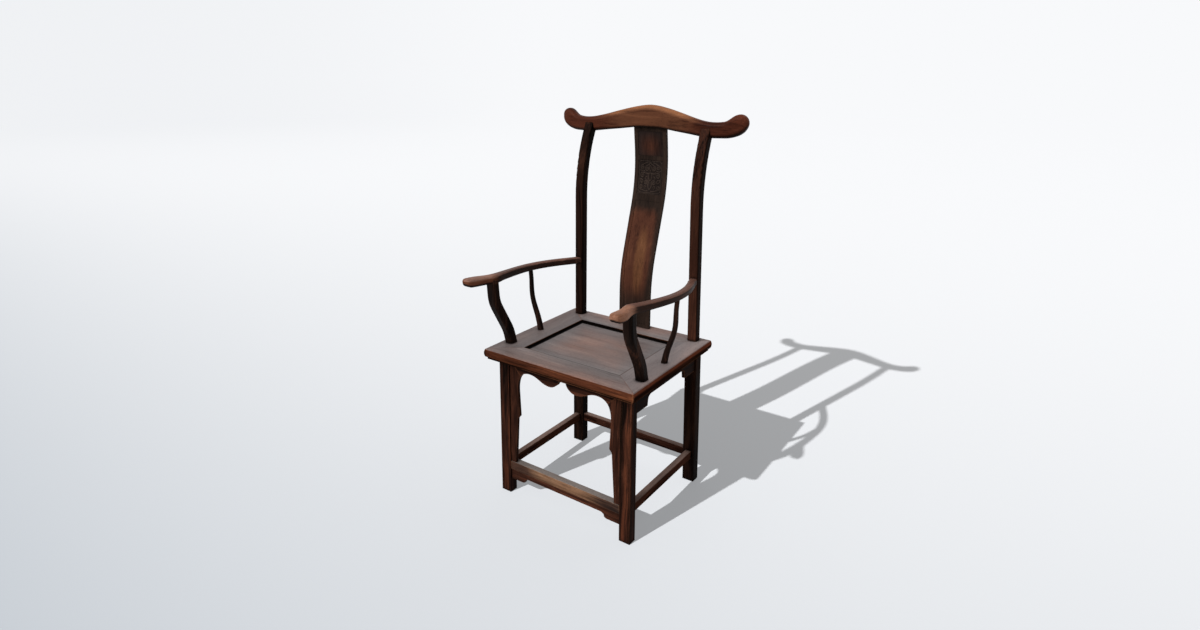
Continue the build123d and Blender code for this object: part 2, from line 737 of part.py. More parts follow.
def front_arch():
    """Right half of the opening framed by the front apron, from the centre notch to the foot."""
    under = frame_underside
    inner_x = front_leg_at(under)[0] - front_leg_width / 2
    foot_x = front_leg_at(foot_stretcher_top)[0] - front_leg_width / 2 - jamb_foot_inset
    notch = (arch_notch_half, under - arch_notch_drop)
    lobe = (lobe_centre, under - lobe_drop)
    lobe_in_x = arch_notch_half + (lobe_centre - arch_notch_half) / 3
    lobe_in = (lobe_in_x, under - (arch_notch_drop + 2 * lobe_drop) / 3)
    crown = (inner_x - arch_crown_inset, under - arch_crown_drop)
    rise = ((lobe[0] + crown[0]) / 2, (lobe[1] + crown[1]) / 2)
    spring = (inner_x - arch_spring_inset, under - arch_spring_drop)
    cusp = (inner_x - cusp_inset, under - cusp_drop)
    below_cusp = (inner_x - jamb_inset, under - cusp_drop - (cusp_inset - jamb_inset) * 1.5)
    foot = (foot_x, foot_stretcher_top - foot_stretcher_height)
    outline = [
        Line((0, foot[1]), (0, notch[1])),
        Line((0, notch[1]), notch),
        Spline(notch, lobe_in, lobe, tangents=((0.2, -1), (1, 0))),
        Spline(lobe, rise, crown, tangents=((1, 0), (1, 0))),
        Spline(crown, spring, tangents=((1, 0), (0, -1))),
        Line(spring, cusp),
        Spline(cusp, below_cusp, tangents=((0.4, -1), (0.2, -1))),
        Line(below_cusp, foot),
        Line(foot, (0, foot[1])),
    ]
    return make_face(Curve() + outline)


def jamb_line(extra):
    """Outer edge of the front aprons: the leaning inner faces of the legs, let in by extra."""
    low, high = foot_stretcher_top - foot_stretcher_height, seat_height
    inset = front_leg_width / 2 - extra
    low_x, high_x = front_leg_at(low)[0] - inset, front_leg_at(high)[0] - inset
    return Polygon((-low_x, low), (low_x, low), (high_x, high), (-high_x, high), align=None)


arch = front_arch()
arch = arch + mirrored(arch)
jamb_top_x = front_leg_top[0] - front_leg_width / 2
mitre_x, mitre_z = jamb_top_x - mitre_reach, frame_underside - mitre_reach - mitre_lip
beyond_x, beyond_z = jamb_top_x + rail_thickness + mitre_lip, seat_height
right_edge = [(beyond_x, beyond_z), (mitre_x, mitre_z), (mitre_x, foot_stretcher_top)]
left_edge = [(-x, z) for x, z in reversed(right_edge)]
above_mitre = Polygon(*right_edge, *left_edge, align=None)
beside_mitre = Polygon(
    (mitre_x, mitre_z), (beyond_x, beyond_z), (beyond_x, 0), (mitre_x, 0), align=None
)
apron_face_y = front_leg_y - front_leg_depth / 2 + apron_set_back
apron_plane = Plane(origin=(0, apron_face_y, 0), x_dir=(1, 0, 0), z_dir=(0, -1, front_lean_back))
apron_span = block((-half_width, half_width), (-half_depth, 0), (foot_stretcher_top, frame_underside))


def front_board(region):
    """One of the three front boards with the thin tongue that enters the legs."""
    face = (jamb_line(leg_ease) - arch) & region
    board = (apron_plane * extrude(face, amount=-apron_thickness)) & apron_span
    thin = (jamb_line(apron_tongue_length) - arch) & region
    skin = (apron_thickness - apron_tongue_thickness) / 2
    tongue = (apron_plane * Pos(0, 0, -skin) * extrude(thin, amount=-apron_tongue_thickness)) & apron_span
    return largest(board - all_legs) + tongue, tongue


def apron_middle_y(z):
    return apron_face_y + front_lean_back * z + apron_thickness / 2


front_top_board, front_top_tongue = front_board(above_mitre)
front_side_board, front_side_tongue = front_board(beside_mitre)
top_tongue_end = jamb_top_x - apron_tongue_length
top_tongue = block(
    (-top_tongue_end, top_tongue_end),
    around(apron_middle_y(frame_underside), apron_tongue_thickness),
    (frame_underside - apron_tongue_length, frame_underside + apron_tongue_length),
)
front_top_board += top_tongue
jamb_foot_x = front_leg_at(foot_stretcher_top)[0] - front_leg_width / 2
foot_tongue = block(
    around(jamb_foot_x - jamb_foot_inset / 2, jamb_foot_inset / 2),
    around(apron_middle_y(foot_stretcher_top), apron_tongue_thickness),
    (foot_stretcher_top - apron_tongue_length, foot_stretcher_top + apron_tongue_length),
)
front_side_board += foot_tongue


def stretcher_bar(length, depth, height):
    """A bar along X with eased edges, its section centred on the axis."""
    section = Plane.YZ * RectangleRounded(depth, height, stretcher_ease)
    return extrude(section, amount=length / 2, both=True)


def tenon_pair(face, height_span):
    """Tenons at both ends of a bar along X that ends at +-face."""
    reach = face + stretcher_tenon_length
    return block((-reach, reach), around(0, stretcher_tenon_thickness), height_span)


def upper_tenon(top):
    return (top - stretcher_tenon_margin - stretcher_tenon_height, top - stretcher_tenon_margin)


def lower_tenon(bottom):
    return (bottom + stretcher_tenon_margin, bottom + stretcher_tenon_margin + stretcher_tenon_height)


foot_underside = foot_stretcher_top - foot_stretcher_height
foot_middle_z = foot_stretcher_top - foot_stretcher_height / 2
foot_front_y = front_leg_at(foot_stretcher_top)[1] - front_leg_depth / 2 + foot_stretcher_set_back
foot_middle_y = foot_front_y + foot_stretcher_depth / 2
foot_inner_x = front_leg_at(foot_middle_z)[0] - front_leg_width / 2
foot_tenons = Pos(0, foot_middle_y, 0) * tenon_pair(foot_inner_x, upper_tenon(foot_stretcher_top))
foot_bar = Pos(0, foot_middle_y, foot_middle_z) * stretcher_bar(
    2 * leg_x, foot_stretcher_depth, foot_stretcher_height
)
foot_stretcher = largest(foot_bar - all_legs) + foot_tenons - both(foot_tongue)

bar_middle_z = stretcher_top - stretcher_height / 2
bar_bottom = stretcher_top - stretcher_height
rear_bar_y = rear_leg_at(bar_middle_z)[1]
rear_bar_inner_x = rear_leg_at(bar_middle_z)[0] - rear_leg_width / 2
rear_tenons = Pos(0, rear_bar_y, 0) * tenon_pair(rear_bar_inner_x, upper_tenon(stretcher_top))
rear_bar = Pos(0, rear_bar_y, bar_middle_z) * stretcher_bar(2 * leg_x, stretcher_depth, stretcher_height)
stretcher_rear = largest(rear_bar - all_legs) + rear_tenons

side_bar_x = (front_leg_at(bar_middle_z)[0] + rear_leg_at(bar_middle_z)[0]) / 2
side_bar_front_y = front_leg_at(bar_middle_z)[1] + front_leg_depth / 2
side_bar_back_y = rear_leg_at(bar_middle_z)[1] - rear_leg_depth / 2
side_bar_half = (side_bar_back_y - side_bar_front_y) / 2
side_bar_placing = Pos(side_bar_x, (side_bar_front_y + side_bar_back_y) / 2, 0) * Rot(0, 0, 90)
side_tenons = side_bar_placing * tenon_pair(side_bar_half, lower_tenon(bar_bottom))
side_bar = side_bar_placing * Pos(0, 0, bar_middle_z) * stretcher_bar(
    2 * side_bar_half + rear_leg_depth, stretcher_depth, stretcher_height
)
stretcher_side = largest(side_bar - all_legs) + side_tenons


def foot_apron_outline():
    """Board under the foot stretcher; its ogee brackets are drawn in shares of their drop."""
    straight_z = foot_underside - foot_apron_drop
    bracket_z = foot_underside - foot_bracket_drop
    drop = straight_z - bracket_z
    end = foot_inner_x + leg_ease
    bracket_x = foot_inner_x - foot_bracket_length
    hook = (bracket_x - 0.6 * drop, straight_z - 0.8 * drop)
    corners = [
        (bracket_x, bracket_z),
        (end, bracket_z),
        (end, foot_underside),
        (0, foot_underside),
        (0, straight_z),
        (bracket_x - 1.5 * drop, straight_z),
    ]
    step = (bracket_x - 0.7 * drop, straight_z - drop / 3)
    outline = Polyline(*corners) + TangentArc(corners[-1], step, tangent=(1, 0))
    outline += Line(step, hook) + Spline(hook, corners[0], tangents=((1, -0.3), (1, 0)))
    half_face = make_face(outline)
    return half_face + mirrored(half_face)


foot_board_y = foot_front_y + stretcher_ease + apron_thickness / 2
foot_board = extrude(Plane.XZ * foot_apron_outline(), amount=apron_thickness / 2, both=True)
foot_board_tongue = Pos(0, foot_board_y, 0) * block(
    (-foot_inner_x + apron_tongue_length, foot_inner_x - apron_tongue_length),
    around(0, apron_tongue_thickness),
    (foot_underside - foot_apron_drop / 2, foot_underside + apron_tongue_length),
)
foot_end_tongue = Pos(0, foot_board_y, 0) * block(
    (-foot_inner_x - apron_tongue_length, foot_inner_x + apron_tongue_length),
    around(0, apron_tongue_thickness),
    (foot_underside - foot_apron_drop, foot_underside - apron_tongue_length),
)
foot_board = largest(Pos(0, foot_board_y, 0) * foot_board - all_legs)
foot_apron = foot_board + foot_board_tongue + foot_end_tongue
foot_stretcher -= foot_board_tongue


# ---- Mortises, cut last from the tenons that fill them ----
rail_right -= mortise(front_corner_tenon, (1, 0, 0)) + mortise(back_corner_tenon, (1, 0, 0))
rail_right -= mortise(leg_tenon, (0, 0, 1)) + mortise(neck_foot_tenon, (0, 0, -1))
rail_right -= mortise(stick_foot_tenon, (0, 0, -1)) + side_apron_tongues
rail_right = rail_right - panel_groove - post_blank - front_corner_peg - back_corner_peg

rail_front = rail_front + both(front_corner_tenon) - corner_pegs - panel_groove
rail_front = rail_front - top_tongue - batten_relief
rail_back = rail_back + both(back_corner_tenon) - corner_pegs - panel_groove - rear_apron_tongues
rail_back = rail_back - batten_relief - both(post_blank) - mortise(both(stile_foot), (0, 0, -1))

front_leg -= mortise(foot_tenons, (1, 0, 0)) + mortise(side_tenons, (0, -1, 0))
front_leg = front_leg - front_top_tongue - front_side_tongue - side_apron_tongues - foot_end_tongue
rear_leg -= mortise(rear_tenons, (1, 0, 0)) + mortise(side_tenons, (0, 1, 0))
rear_leg = rear_leg - mortise(arm_tenon, (0, 1, 0)) - side_apron_tongues - rear_apron_tongues

arm = largest(arm_blank - post_blank) + arm_tenon
arm = arm - mortise(neck_head_tenon, (0, 0, 1)) - mortise(stick_head_tenon, (0, 0, 1))

crest_cuts = mortise(crest_tenon, post_head_direction) + crest_peg
head_span = (-splat_width / 2, splat_width / 2)
splat_head = splat_bar(head_span, splat_core_thickness, head_tongue_z)
crest_rail = crest_blank - both(crest_cuts) - mortise(splat_head, (0, 0, 1))

# ---- Nodes ----
sided = {
    "front_leg": front_leg,
    "rear_leg": rear_leg,
    "gooseneck": gooseneck,
    "side_post": side_post,
    "arm": arm,
    "seat_rail": rail_right,
    "seat_batten": batten_right,
    "splat_stile": stile,
    "front_apron": front_side_board,
    "side_apron": side_apron,
    "stretcher": stretcher_side,
}
nodes = {
    "seat_rail_front": rail_front,
    "seat_rail_back": rail_back,
    "seat_panel": panel_blank - battens,
    "seat_frame_pegs": corner_pegs,
    "crest_rail": crest_rail,
    "crest_rail_pegs": both(crest_peg),
    **splat_pieces,
    "front_apron_top": front_top_board,
    "rear_apron": rear_apron,
    "foot_stretcher": foot_stretcher,
    "foot_apron": foot_apron,
    "stretcher_rear": stretcher_rear,
}
for name, piece in sided.items():
    nodes[f"{name}_right"] = piece
    nodes[f"{name}_left"] = mirrored(piece)

whole = Compound(children=[Compound(piece.solids()) for piece in nodes.values()]).bounding_box()
to_origin = Pos(0, -whole.center().Y, 0)

os.makedirs("parts", exist_ok=True)
for name, piece in nodes.items():
    export_step(to_origin * Compound(piece.solids()), f"parts/{name}.step")
print(len(nodes), "nodes; whole", whole.size)
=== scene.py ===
import math

import bpy
import numpy as np
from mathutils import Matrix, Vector


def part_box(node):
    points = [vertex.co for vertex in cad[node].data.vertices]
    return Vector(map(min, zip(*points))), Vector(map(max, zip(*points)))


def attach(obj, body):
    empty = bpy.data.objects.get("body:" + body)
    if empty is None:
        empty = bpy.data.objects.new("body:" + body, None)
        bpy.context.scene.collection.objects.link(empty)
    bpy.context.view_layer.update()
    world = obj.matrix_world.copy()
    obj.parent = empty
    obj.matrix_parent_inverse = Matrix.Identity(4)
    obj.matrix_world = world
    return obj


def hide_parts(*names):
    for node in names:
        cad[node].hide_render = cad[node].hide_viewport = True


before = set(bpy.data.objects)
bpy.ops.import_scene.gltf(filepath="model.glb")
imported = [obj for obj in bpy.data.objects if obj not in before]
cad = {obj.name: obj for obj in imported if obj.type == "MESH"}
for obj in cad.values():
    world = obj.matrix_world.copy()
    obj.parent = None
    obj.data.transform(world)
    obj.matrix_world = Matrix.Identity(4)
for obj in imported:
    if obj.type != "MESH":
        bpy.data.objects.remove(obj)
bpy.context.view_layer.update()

# ---- View and light ----
camera_place = (1.1250, -1.5999, 1.3265)
camera_yaw = 0.61                # to the left of straight ahead
camera_pitch = -0.35
sensor_width = 36.0
focal_pixels = 675.65            # in an image as wide as image_width
image_width = 1200
sun_direction = (0.2006, 0.7357, -0.6469)  # the way the light of both suns travels
chair_sun_energy = 2.72
floor_sun_energy = 11.25
floor_sun_angle = math.radians(0.7)
chair_sun_angle = math.radians(40)
sky_level = 0.345                # light from all of the sky
sky_behind = 0.45                # and more of it from behind the chair
floor_lit_share = 0.25           # the rest of the floor's tone doesn't depend on the light
floor_own_level = 0.425          # of that rest
bounce_grey = 0.163              # floor as the chair's diffuse rays see it


def tone(red, green, blue):
    """A colour written in 0 to 255 as the eye sees it, as linear RGBA."""
    linear = []
    for value in (red, green, blue):
        share = value / 255
        linear.append(share / 12.92 if share <= 0.04045 else ((share + 0.055) / 1.055) ** 2.4)
    return (*linear, 1.0)


class Graph:
    """Adds nodes to one node tree; its methods return output sockets."""

    def __init__(self, tree):
        self.tree = tree
        tree.nodes.clear()

    def add(self, kind, inputs, **settings):
        made = self.tree.nodes.new("ShaderNode" + kind)
        for name, value in settings.items():
            setattr(made, name, value)
        for key, value in inputs.items():
            if isinstance(value, bpy.types.NodeSocket):
                self.tree.links.new(value, made.inputs[key])
            else:
                made.inputs[key].default_value = value
        return made

    def math(self, operation, *values):
        return self.add("Math", dict(enumerate(values)), operation=operation).outputs[0]

    def times(self, *values):
        product = values[0]
        for value in values[1:]:
            product = self.math("MULTIPLY", product, value)
        return product

    def away(self, value, middle=0.0):
        """The distance of value from middle."""
        return self.math("ABSOLUTE", self.math("SUBTRACT", value, middle))

    def vector(self, operation, *values):
        return self.add("VectorMath", dict(enumerate(values)), operation=operation).outputs[0]

    def ramp(self, value, low, high, first=0.0, last=1.0):
        """A smooth change from first to last as value goes from low to high."""
        inputs = {"Value": value, "From Min": low, "From Max": high, "To Min": first, "To Max": last}
        return self.add("MapRange", inputs, interpolation_type="SMOOTHSTEP").outputs["Result"]

    def fade(self, value, low, high, first=1.0):
        """A smooth change from first to nothing as value goes from low to high."""
        return self.ramp(value, low, high, first, 0.0)

    def mix(self, share, first, second, blend="MIX"):
        made = self.add("Mix", {0: share, 6: first, 7: second}, data_type="RGBA", blend_type=blend)
        return made.outputs[2]

    def noise(self, vector, scale, detail=2.0, roughness=0.5):
        inputs = {"Vector": vector, "Scale": scale, "Detail": detail, "Roughness": roughness}
        return self.add("TexNoise", inputs).outputs[0]

    def axes(self, vector):
        return self.add("SeparateXYZ", {0: vector}).outputs

    def seen_directly(self):
        """1 for rays from the camera, a mirror or glass, and 0 for diffuse light."""
        path = self.add("LightPath", {}).outputs
        seen = self.math("MAXIMUM", path["Is Camera Ray"], path["Is Glossy Ray"])
        return self.math("MAXIMUM", seen, path["Is Transmission Ray"])


# ---- Camera, suns, sky and floor ----
backdrop_tone = tone(248, 249, 251)
front_tone = tone(187, 194, 202)  # the floor tends to this towards the front
front_share = 0.325               # of it, level with the middle of the chair
front_reach = 1.55                # metres over which that share falls to 1/e
front_most = 0.8                  # the most that the share rises to
left_share = 0.16                 # of the same tone, in the backdrop far to the left
left_reach = (-1.0, -0.6)         # X of the directions over which it fades
floor_half = 60.0
floor_fade = (6.0, 20.0)          # distance over which the floor turns into the backdrop


def make_camera():
    data = bpy.data.cameras.new("camera")
    data.sensor_fit = "HORIZONTAL"
    data.sensor_width = sensor_width
    data.lens = focal_pixels / image_width * sensor_width
    data.clip_end = 4 * floor_half
    camera = bpy.data.objects.new("camera", data)
    camera.location = camera_place
    camera.rotation_euler = (math.pi / 2 + camera_pitch, 0, camera_yaw)
    bpy.context.scene.collection.objects.link(camera)
    bpy.context.scene.camera = camera


def far_tone(g, direction):
    share = g.fade(g.axes(direction)["X"], *left_reach, left_share)
    return g.mix(share, backdrop_tone, front_tone)


def make_sky():
    world = bpy.data.worlds.new("sky")
    world.use_nodes = True
    bpy.context.scene.world = world
    g = Graph(world.node_tree)
    direction = g.add("TexCoord", {}).outputs["Generated"]
    behind = g.times(g.math("MAXIMUM", g.axes(direction)["Y"], 0.0), sky_behind)
    level = g.math("ADD", behind, sky_level)
    light = g.add("Background", {"Color": (1, 1, 1, 1), "Strength": level}).outputs[0]
    backdrop = g.add("Background", {"Color": far_tone(g, direction), "Strength": 1.0}).outputs[0]
    both = g.add("MixShader", {0: g.seen_directly(), 1: light, 2: backdrop}).outputs[0]
    g.add("OutputWorld", {"Surface": both})


def make_floor():
    corners = [(x * floor_half, y * floor_half, 0) for x, y in ((-1, -1), (1, -1), (1, 1), (-1, 1))]
    mesh = bpy.data.meshes.new("floor")
    mesh.from_pydata(corners, [], [(0, 1, 2, 3)])
    floor = bpy.data.objects.new("floor", mesh)
    bpy.context.scene.collection.objects.link(floor)
    material = bpy.data.materials.new("floor")
    material.use_nodes = True
    mesh.materials.append(material)
    g = Graph(material.node_tree)
    place = g.add("TexCoord", {}).outputs["Object"]
    fall = g.math("EXPONENT", g.math("DIVIDE", g.axes(place)["Y"], -front_reach))
    share = g.math("MINIMUM", g.times(fall, front_share), front_most)
    pale_tone = g.mix(share, backdrop_tone, front_tone)
    lit = g.add("BsdfDiffuse", {"Color": pale_tone}).outputs[0]
    own = g.add("Emission", {"Color": pale_tone, "Strength": floor_own_level}).outputs[0]
    pale = g.add("MixShader", {0: floor_lit_share, 1: own, 2: lit}).outputs[0]
    far = far_tone(g, g.vector("NORMALIZE", place))
    backdrop = g.add("Emission", {"Color": far, "Strength": 1.0}).outputs[0]
    distance = g.add("VectorMath", {0: place}, operation="LENGTH").outputs["Value"]
    shown = g.add("MixShader", {0: g.ramp(distance, *floor_fade), 1: pale, 2: backdrop}).outputs[0]
    bounce = g.add("BsdfDiffuse", {"Color": (bounce_grey, bounce_grey, bounce_grey, 1)}).outputs[0]
    both = g.add("MixShader", {0: g.seen_directly(), 1: bounce, 2: shown}).outputs[0]
    g.add("OutputMaterial", {"Surface": both})
    return floor


def linked_objects(name, state, objects):
    """A collection that light linking includes or excludes."""
    linked = bpy.data.collections.new(name)
    for index, item in enumerate(objects):
        linked.objects.link(item)
        linked.collection_objects[index].light_linking.link_state = state
    return linked


def make_sun(name, energy, angle, floor, floor_state):
    """A small sun for the floor's crisp shadow or a wide one for the chair, both in the same place."""
    data = bpy.data.lights.new(name, "SUN")
    data.energy = energy
    data.angle = angle
    sun = bpy.data.objects.new(name, data)
    sun.rotation_mode = "QUATERNION"
    sun.rotation_quaternion = Vector(sun_direction).to_track_quat("-Z", "Y")
    bpy.context.scene.collection.objects.link(sun)
    sun.light_linking.receiver_collection = linked_objects(name + "_lights", floor_state, [floor])
    return sun


make_camera()
make_sky()
stage_floor = make_floor()
make_sun("floor_sun", floor_sun_energy, floor_sun_angle, stage_floor, "INCLUDE")
chair_sun = make_sun("chair_sun", chair_sun_energy, chair_sun_angle, stage_floor, "EXCLUDE")
# the photograph shows no shadow of the arms and their posts on the seat
arm_pieces = ("arm", "gooseneck", "side_post")
above_seat = [cad[f"{name}_{side}"] for name in arm_pieces for side in ("left", "right")]
chair_sun.light_linking.blocker_collection = linked_objects("chair_sun_passes", "EXCLUDE", above_seat)


# ---- Wood ----
grain_stretch = 0.04             # how much slower the figure changes along the grain
pore_stretch = 0.08
cloud_stretch = 0.4
figure_scale = 38.0              # per metre, across the grain
fibre_scale = 230.0
pore_scale = 1300.0
cloud_scale = 11.0
fine_detail = 3.0                # octaves of the fibres' and the clouds' noise
fibre_roughness = 0.6
cloud_roughness = 0.55
wander_scale = 3.5
grain_wander = 0.03              # metres
growth_lines = 7.0               # between the lightest and the darkest part of the figure
broad_share = 0.55               # what each adds to the figure
fine_share = 0.45
line_share = 0.022
shift_step = (0.37, 0.53, 0.71)  # from one material's figure to the next one's
cloud_range = (0.32, 0.68)       # the values of noise or occlusion between which each takes effect
pore_range = (0.58, 0.74)
solid_range = (0.55, 0.95)
worn_range = (0.4, 0.6)
shelter_range = (0.4, 0.9)
polish_range = (0.75, 1.25)
ragged_range = (0.15, 0.85)
patch_range = (0.3, 0.6)
patch_shares = (0.6, 0.95)       # of a worn top's tone, between its patches and in them
facing_up = (0.6, 0.95)          # Z of the normals from which a top counts as worn
pore_strength = 0.55
pore_depth = 0.6                 # against the fibres' relief
bump_strength = 0.3
bump_height = 0.0005
smoother = 0.08                  # how far the roughness goes below the gloss
rougher = 0.14                   # and above it
crevice_reach = 0.018
edge_reach = 0.004
occlusion_samples = 8
# near black: painted shade in hollows, on undersides and round the seat panel, and the dark mitre joints
black_shade_and_grime = tone(7, 5, 4)
pore_tone = tone(12, 8, 7)


class Wood(Graph):
    """An old waxed hardwood with its grain along one axis, in the frame's own coordinates."""

    made = 0

    def __init__(self, name, grain, dark, middle, light, spread=0.13):
        self.material = bpy.data.materials.new(name)
        self.material.use_nodes = True
        super().__init__(self.material.node_tree)
        Wood.made += 1
        shift = tuple(step * Wood.made for step in shift_step)
        self.spread = spread
        place = self.add("TexCoord", {}).outputs["Object"]
        self.x, self.y, self.z = (self.axes(place)[axis] for axis in "XYZ")
        normal = self.axes(self.add("NewGeometry", {}).outputs["Normal"])
        self.up, self.sideways = normal["Z"], self.away(normal["X"])
        own = self.vector("ADD", place, shift)
        wander_inputs = {"Vector": own, "Scale": wander_scale, "Detail": 2.0}
        wander = self.add("TexNoise", wander_inputs).outputs["Color"]
        wander = self.vector("MULTIPLY", wander, (grain_wander,) * 3)

        def along(vector, stretch):
            return self.vector("MULTIPLY", vector, tuple(stretch if axis == grain else 1.0 for axis in "XYZ"))

        fibres = along(self.vector("ADD", own, wander), grain_stretch)
        self.broad = self.noise(fibres, figure_scale)
        self.fine = self.noise(fibres, fibre_scale, fine_detail, fibre_roughness)
        self.pores = self.noise(along(own, pore_stretch), pore_scale, 1.0)
        self.clouds = self.noise(along(own, cloud_stretch), cloud_scale, fine_detail, cloud_roughness)
        lines = self.math("SINE", self.times(self.broad, 2 * math.pi * growth_lines))
        figure = self.math("ADD", self.times(self.broad, broad_share), self.times(self.fine, fine_share))
        self.figure = self.math("ADD", figure, self.times(lines, line_share))
        self.colour = self.streaks(dark, middle, light)

    def streaks(self, dark, middle, light):
        lower = self.mix(self.ramp(self.figure, 0.5 - self.spread, 0.5), dark, middle)
        return self.mix(self.ramp(self.figure, 0.5, 0.5 + self.spread), lower, light)

    def over(self, mask, *colours):
        """Lays other streaks, or one plain colour, over the wood where the mask is 1."""
        top = self.streaks(*colours) if len(colours) == 3 else colours[0]
        self.colour = self.mix(mask, self.colour, top)

    def ragged(self, mask, amount=0.5):
        """The mask with an uneven border."""
        uneven = self.times(self.math("SUBTRACT", self.clouds, 0.5), 2 * amount)
        strands = self.times(self.math("SUBTRACT", self.fine, 0.5), amount)
        return self.ramp(self.math("ADD", self.math("ADD", mask, uneven), strands), *ragged_range)

    def worn_top(self):
        """Where the wood faces up, in patches."""
        return self.times(self.ramp(self.up, *facing_up), self.ramp(self.clouds, *patch_range, *patch_shares))

    def finish(self, specular=0.02, gloss=0.42, wear=0.5, wear_tone=tone(104, 66, 46), shade_depth=0.9,
               mottle=0.24, crevice=crevice_reach, edge=edge_reach):
        """Adds clouding, pores, worn edges and painted shade in hollows, and makes the surface."""
        level = self.ramp(self.clouds, *cloud_range, 1 - mottle, 1 + mottle)
        grey = self.add("CombineColor", {0: level, 1: level, 2: level}).outputs[0]
        colour = self.mix(1.0, self.colour, grey, "MULTIPLY")
        colour = self.mix(self.ramp(self.pores, *pore_range, 0.0, pore_strength), colour, pore_tone)
        inwards = {"samples": occlusion_samples, "inside": True, "only_local": True}
        solid = self.add("AmbientOcclusion", {"Distance": edge}, **inwards).outputs["AO"]
        rubbed = self.times(self.fade(solid, *solid_range), self.ramp(self.clouds, *worn_range))
        colour = self.mix(self.times(rubbed, wear), colour, wear_tone)
        # painted shade: darker towards black where the outside occlusion finds hollows and places between
        # parts
        shelter = self.add("AmbientOcclusion", {"Distance": crevice}, samples=occlusion_samples).outputs["AO"]
        colour = self.mix(self.fade(shelter, *shelter_range, shade_depth), colour, black_shade_and_grime)
        relief = self.math("ADD", self.fine, self.times(self.pores, -pore_depth))
        bump_inputs = {"Height": relief, "Strength": bump_strength, "Distance": bump_height}
        bump = self.add("Bump", bump_inputs).outputs[0]
        polish = self.math("ADD", self.clouds, self.fine)
        inputs = {
            "Base Color": colour,
            "Roughness": self.ramp(polish, *polish_range, gloss - smoother, gloss + rougher),
            "Specular IOR Level": specular,
            "Normal": bump,
        }
        surface = self.add("BsdfPrincipled", inputs).outputs[0]
        self.add("OutputMaterial", {"Surface": surface})
        return self.material


def dress(material, *names):
    """Gives CAD nodes their material, on both sides of the chair where the name ends in an underscore."""
    for name in names:
        sides = [name + "left", name + "right"] if name.endswith("_") else [name]
        for node in sides:
            for slot in cad[node].material_slots:
                slot.link = "OBJECT"
                slot.material = material


# Places read from the frame
rail_low, rail_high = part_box("seat_rail_front")
back_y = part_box("seat_rail_back")[1].y
panel_low, panel_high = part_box("seat_panel")
half_width = rail_high.x
front_y = rail_low.y
middle_y = (front_y + back_y) / 2
panel_tongue = 0.008
hole_x = panel_high.x - panel_tongue
hole_front = panel_low.y + panel_tongue
hole_back = panel_high.y - panel_tongue
hole_middle = (hole_front + hole_back) / 2
hole_half = (hole_back - hole_front) / 2

# Widths over which a tone changes, in metres
moulding_mitre = 0.014           # the mitres run at 45 degrees this far in from the seat's edge
mitre_bend = 0.0005              # on either side of that place
end_change = (-0.01, 0.01)       # along Y, from the front corners' mitres to the rear ones'
mitre_seam = (0.0003, 0.0012)    # from the mitre's line
hole_seam = (0.0012, 0.0026)     # from the opening for the panel
panel_groove = (0.0085, 0.0105)  # inwards from the same opening
left_end = (0.003, 0.010)        # from the seat's left edge
edge_foot = (0.0068, 0.0088)     # above the rails' underside
edge_rim = (0.015, 0.007)        # below the rails' top
inner_faces = (0.025, 0.035)     # in from the seat's edge
legs_foot = (0.05, 0.3)          # above the floor
under_seat = (-0.04, 0.01)       # above the rails' underside
arm_tip = (0.05, 0.14)           # from the arm's front end
side_change = (-0.1, 0.1)        # across the chair, from its left half to its right one

seat_grey = tone(100, 93, 92), tone(117, 110, 109), tone(131, 124, 122)
seat_red = tone(118, 89, 79), tone(138, 109, 99), tone(151, 124, 113)
apron_brown = tone(18, 9, 7), tone(50, 28, 20), tone(80, 46, 33)
# the side aprons near-black: painted shade on the chair's sides
apron_black = tone(9, 5, 4), tone(26, 14, 10), tone(46, 25, 18)


def shifted(place, reach):
    """The two ends of a reach that is measured from a place."""
    return place + reach[0], place + reach[1]


def front_leg_wood():
    """Darker at the sides and towards the foot, as painted shade."""
    w = Wood("front_leg_wood", "Z", tone(12, 7, 5), tone(47, 26, 19), tone(84, 47, 32))
    # painted shade at the sides
    w.over(w.ramp(w.sideways, 0.4, 0.85, 0.0, 0.8), tone(7, 4, 3), tone(21, 11, 8), tone(42, 22, 15))
    # painted shade towards the foot
    w.over(w.fade(w.z, *legs_foot, 0.35), tone(7, 4, 3), tone(30, 14, 9), tone(58, 27, 17))
    return w.finish(specular=0.01)


def rear_leg_wood():
    """Brown at the front and back, darker on the left leg, and nearly black at the sides and below the seat,
    where the black is painted shade.
    """
    w = Wood("rear_leg_wood", "Z", tone(22, 11, 8), tone(60, 35, 26), tone(90, 54, 39), spread=0.16)
    w.over(w.fade(w.x, *side_change, 0.85), tone(9, 5, 4), tone(25, 15, 11), tone(46, 28, 21))
    # painted shade at the sides
    w.over(w.ramp(w.sideways, 0.3, 0.85, 0.0, 0.85), tone(7, 4, 3), tone(15, 9, 7), tone(30, 18, 14))
    # painted shade below the seat
    low_part = w.fade(w.z, *shifted(rail_low.z, under_seat), 0.85)
    w.over(low_part, tone(6, 3, 2), tone(18, 11, 8), tone(36, 21, 15))
    return w.finish(specular=0.01)


def stick_wood():
    w = Wood("stick_wood", "Z", tone(10, 7, 6), tone(29, 19, 15), tone(60, 38, 29), spread=0.16)
    return w.finish()


def crest_wood():
    """Browner in its middle, with a painted highlight on its top there and painted shade below."""
    w = Wood("crest_wood", "X", tone(47, 21, 13), tone(77, 39, 26), tone(101, 54, 38), spread=0.2)
    middle = w.ragged(w.fade(w.away(w.x, 0.01), 0.02, 0.27), 0.25)
    w.over(middle, tone(57, 31, 21), tone(82, 49, 34), tone(101, 63, 44))
    # painted highlight on the top of the middle
    highlit_middle_top = w.times(middle, w.ramp(w.up, -0.2, 0.85))
    w.over(highlit_middle_top, tone(104, 66, 43), tone(140, 91, 61), tone(156, 105, 73))
    # painted shade below
    w.over(w.fade(w.up, -0.8, 0.05, 0.9), black_shade_and_grime)
    return w.finish(specular=0.03, gloss=0.4, mottle=0.16)


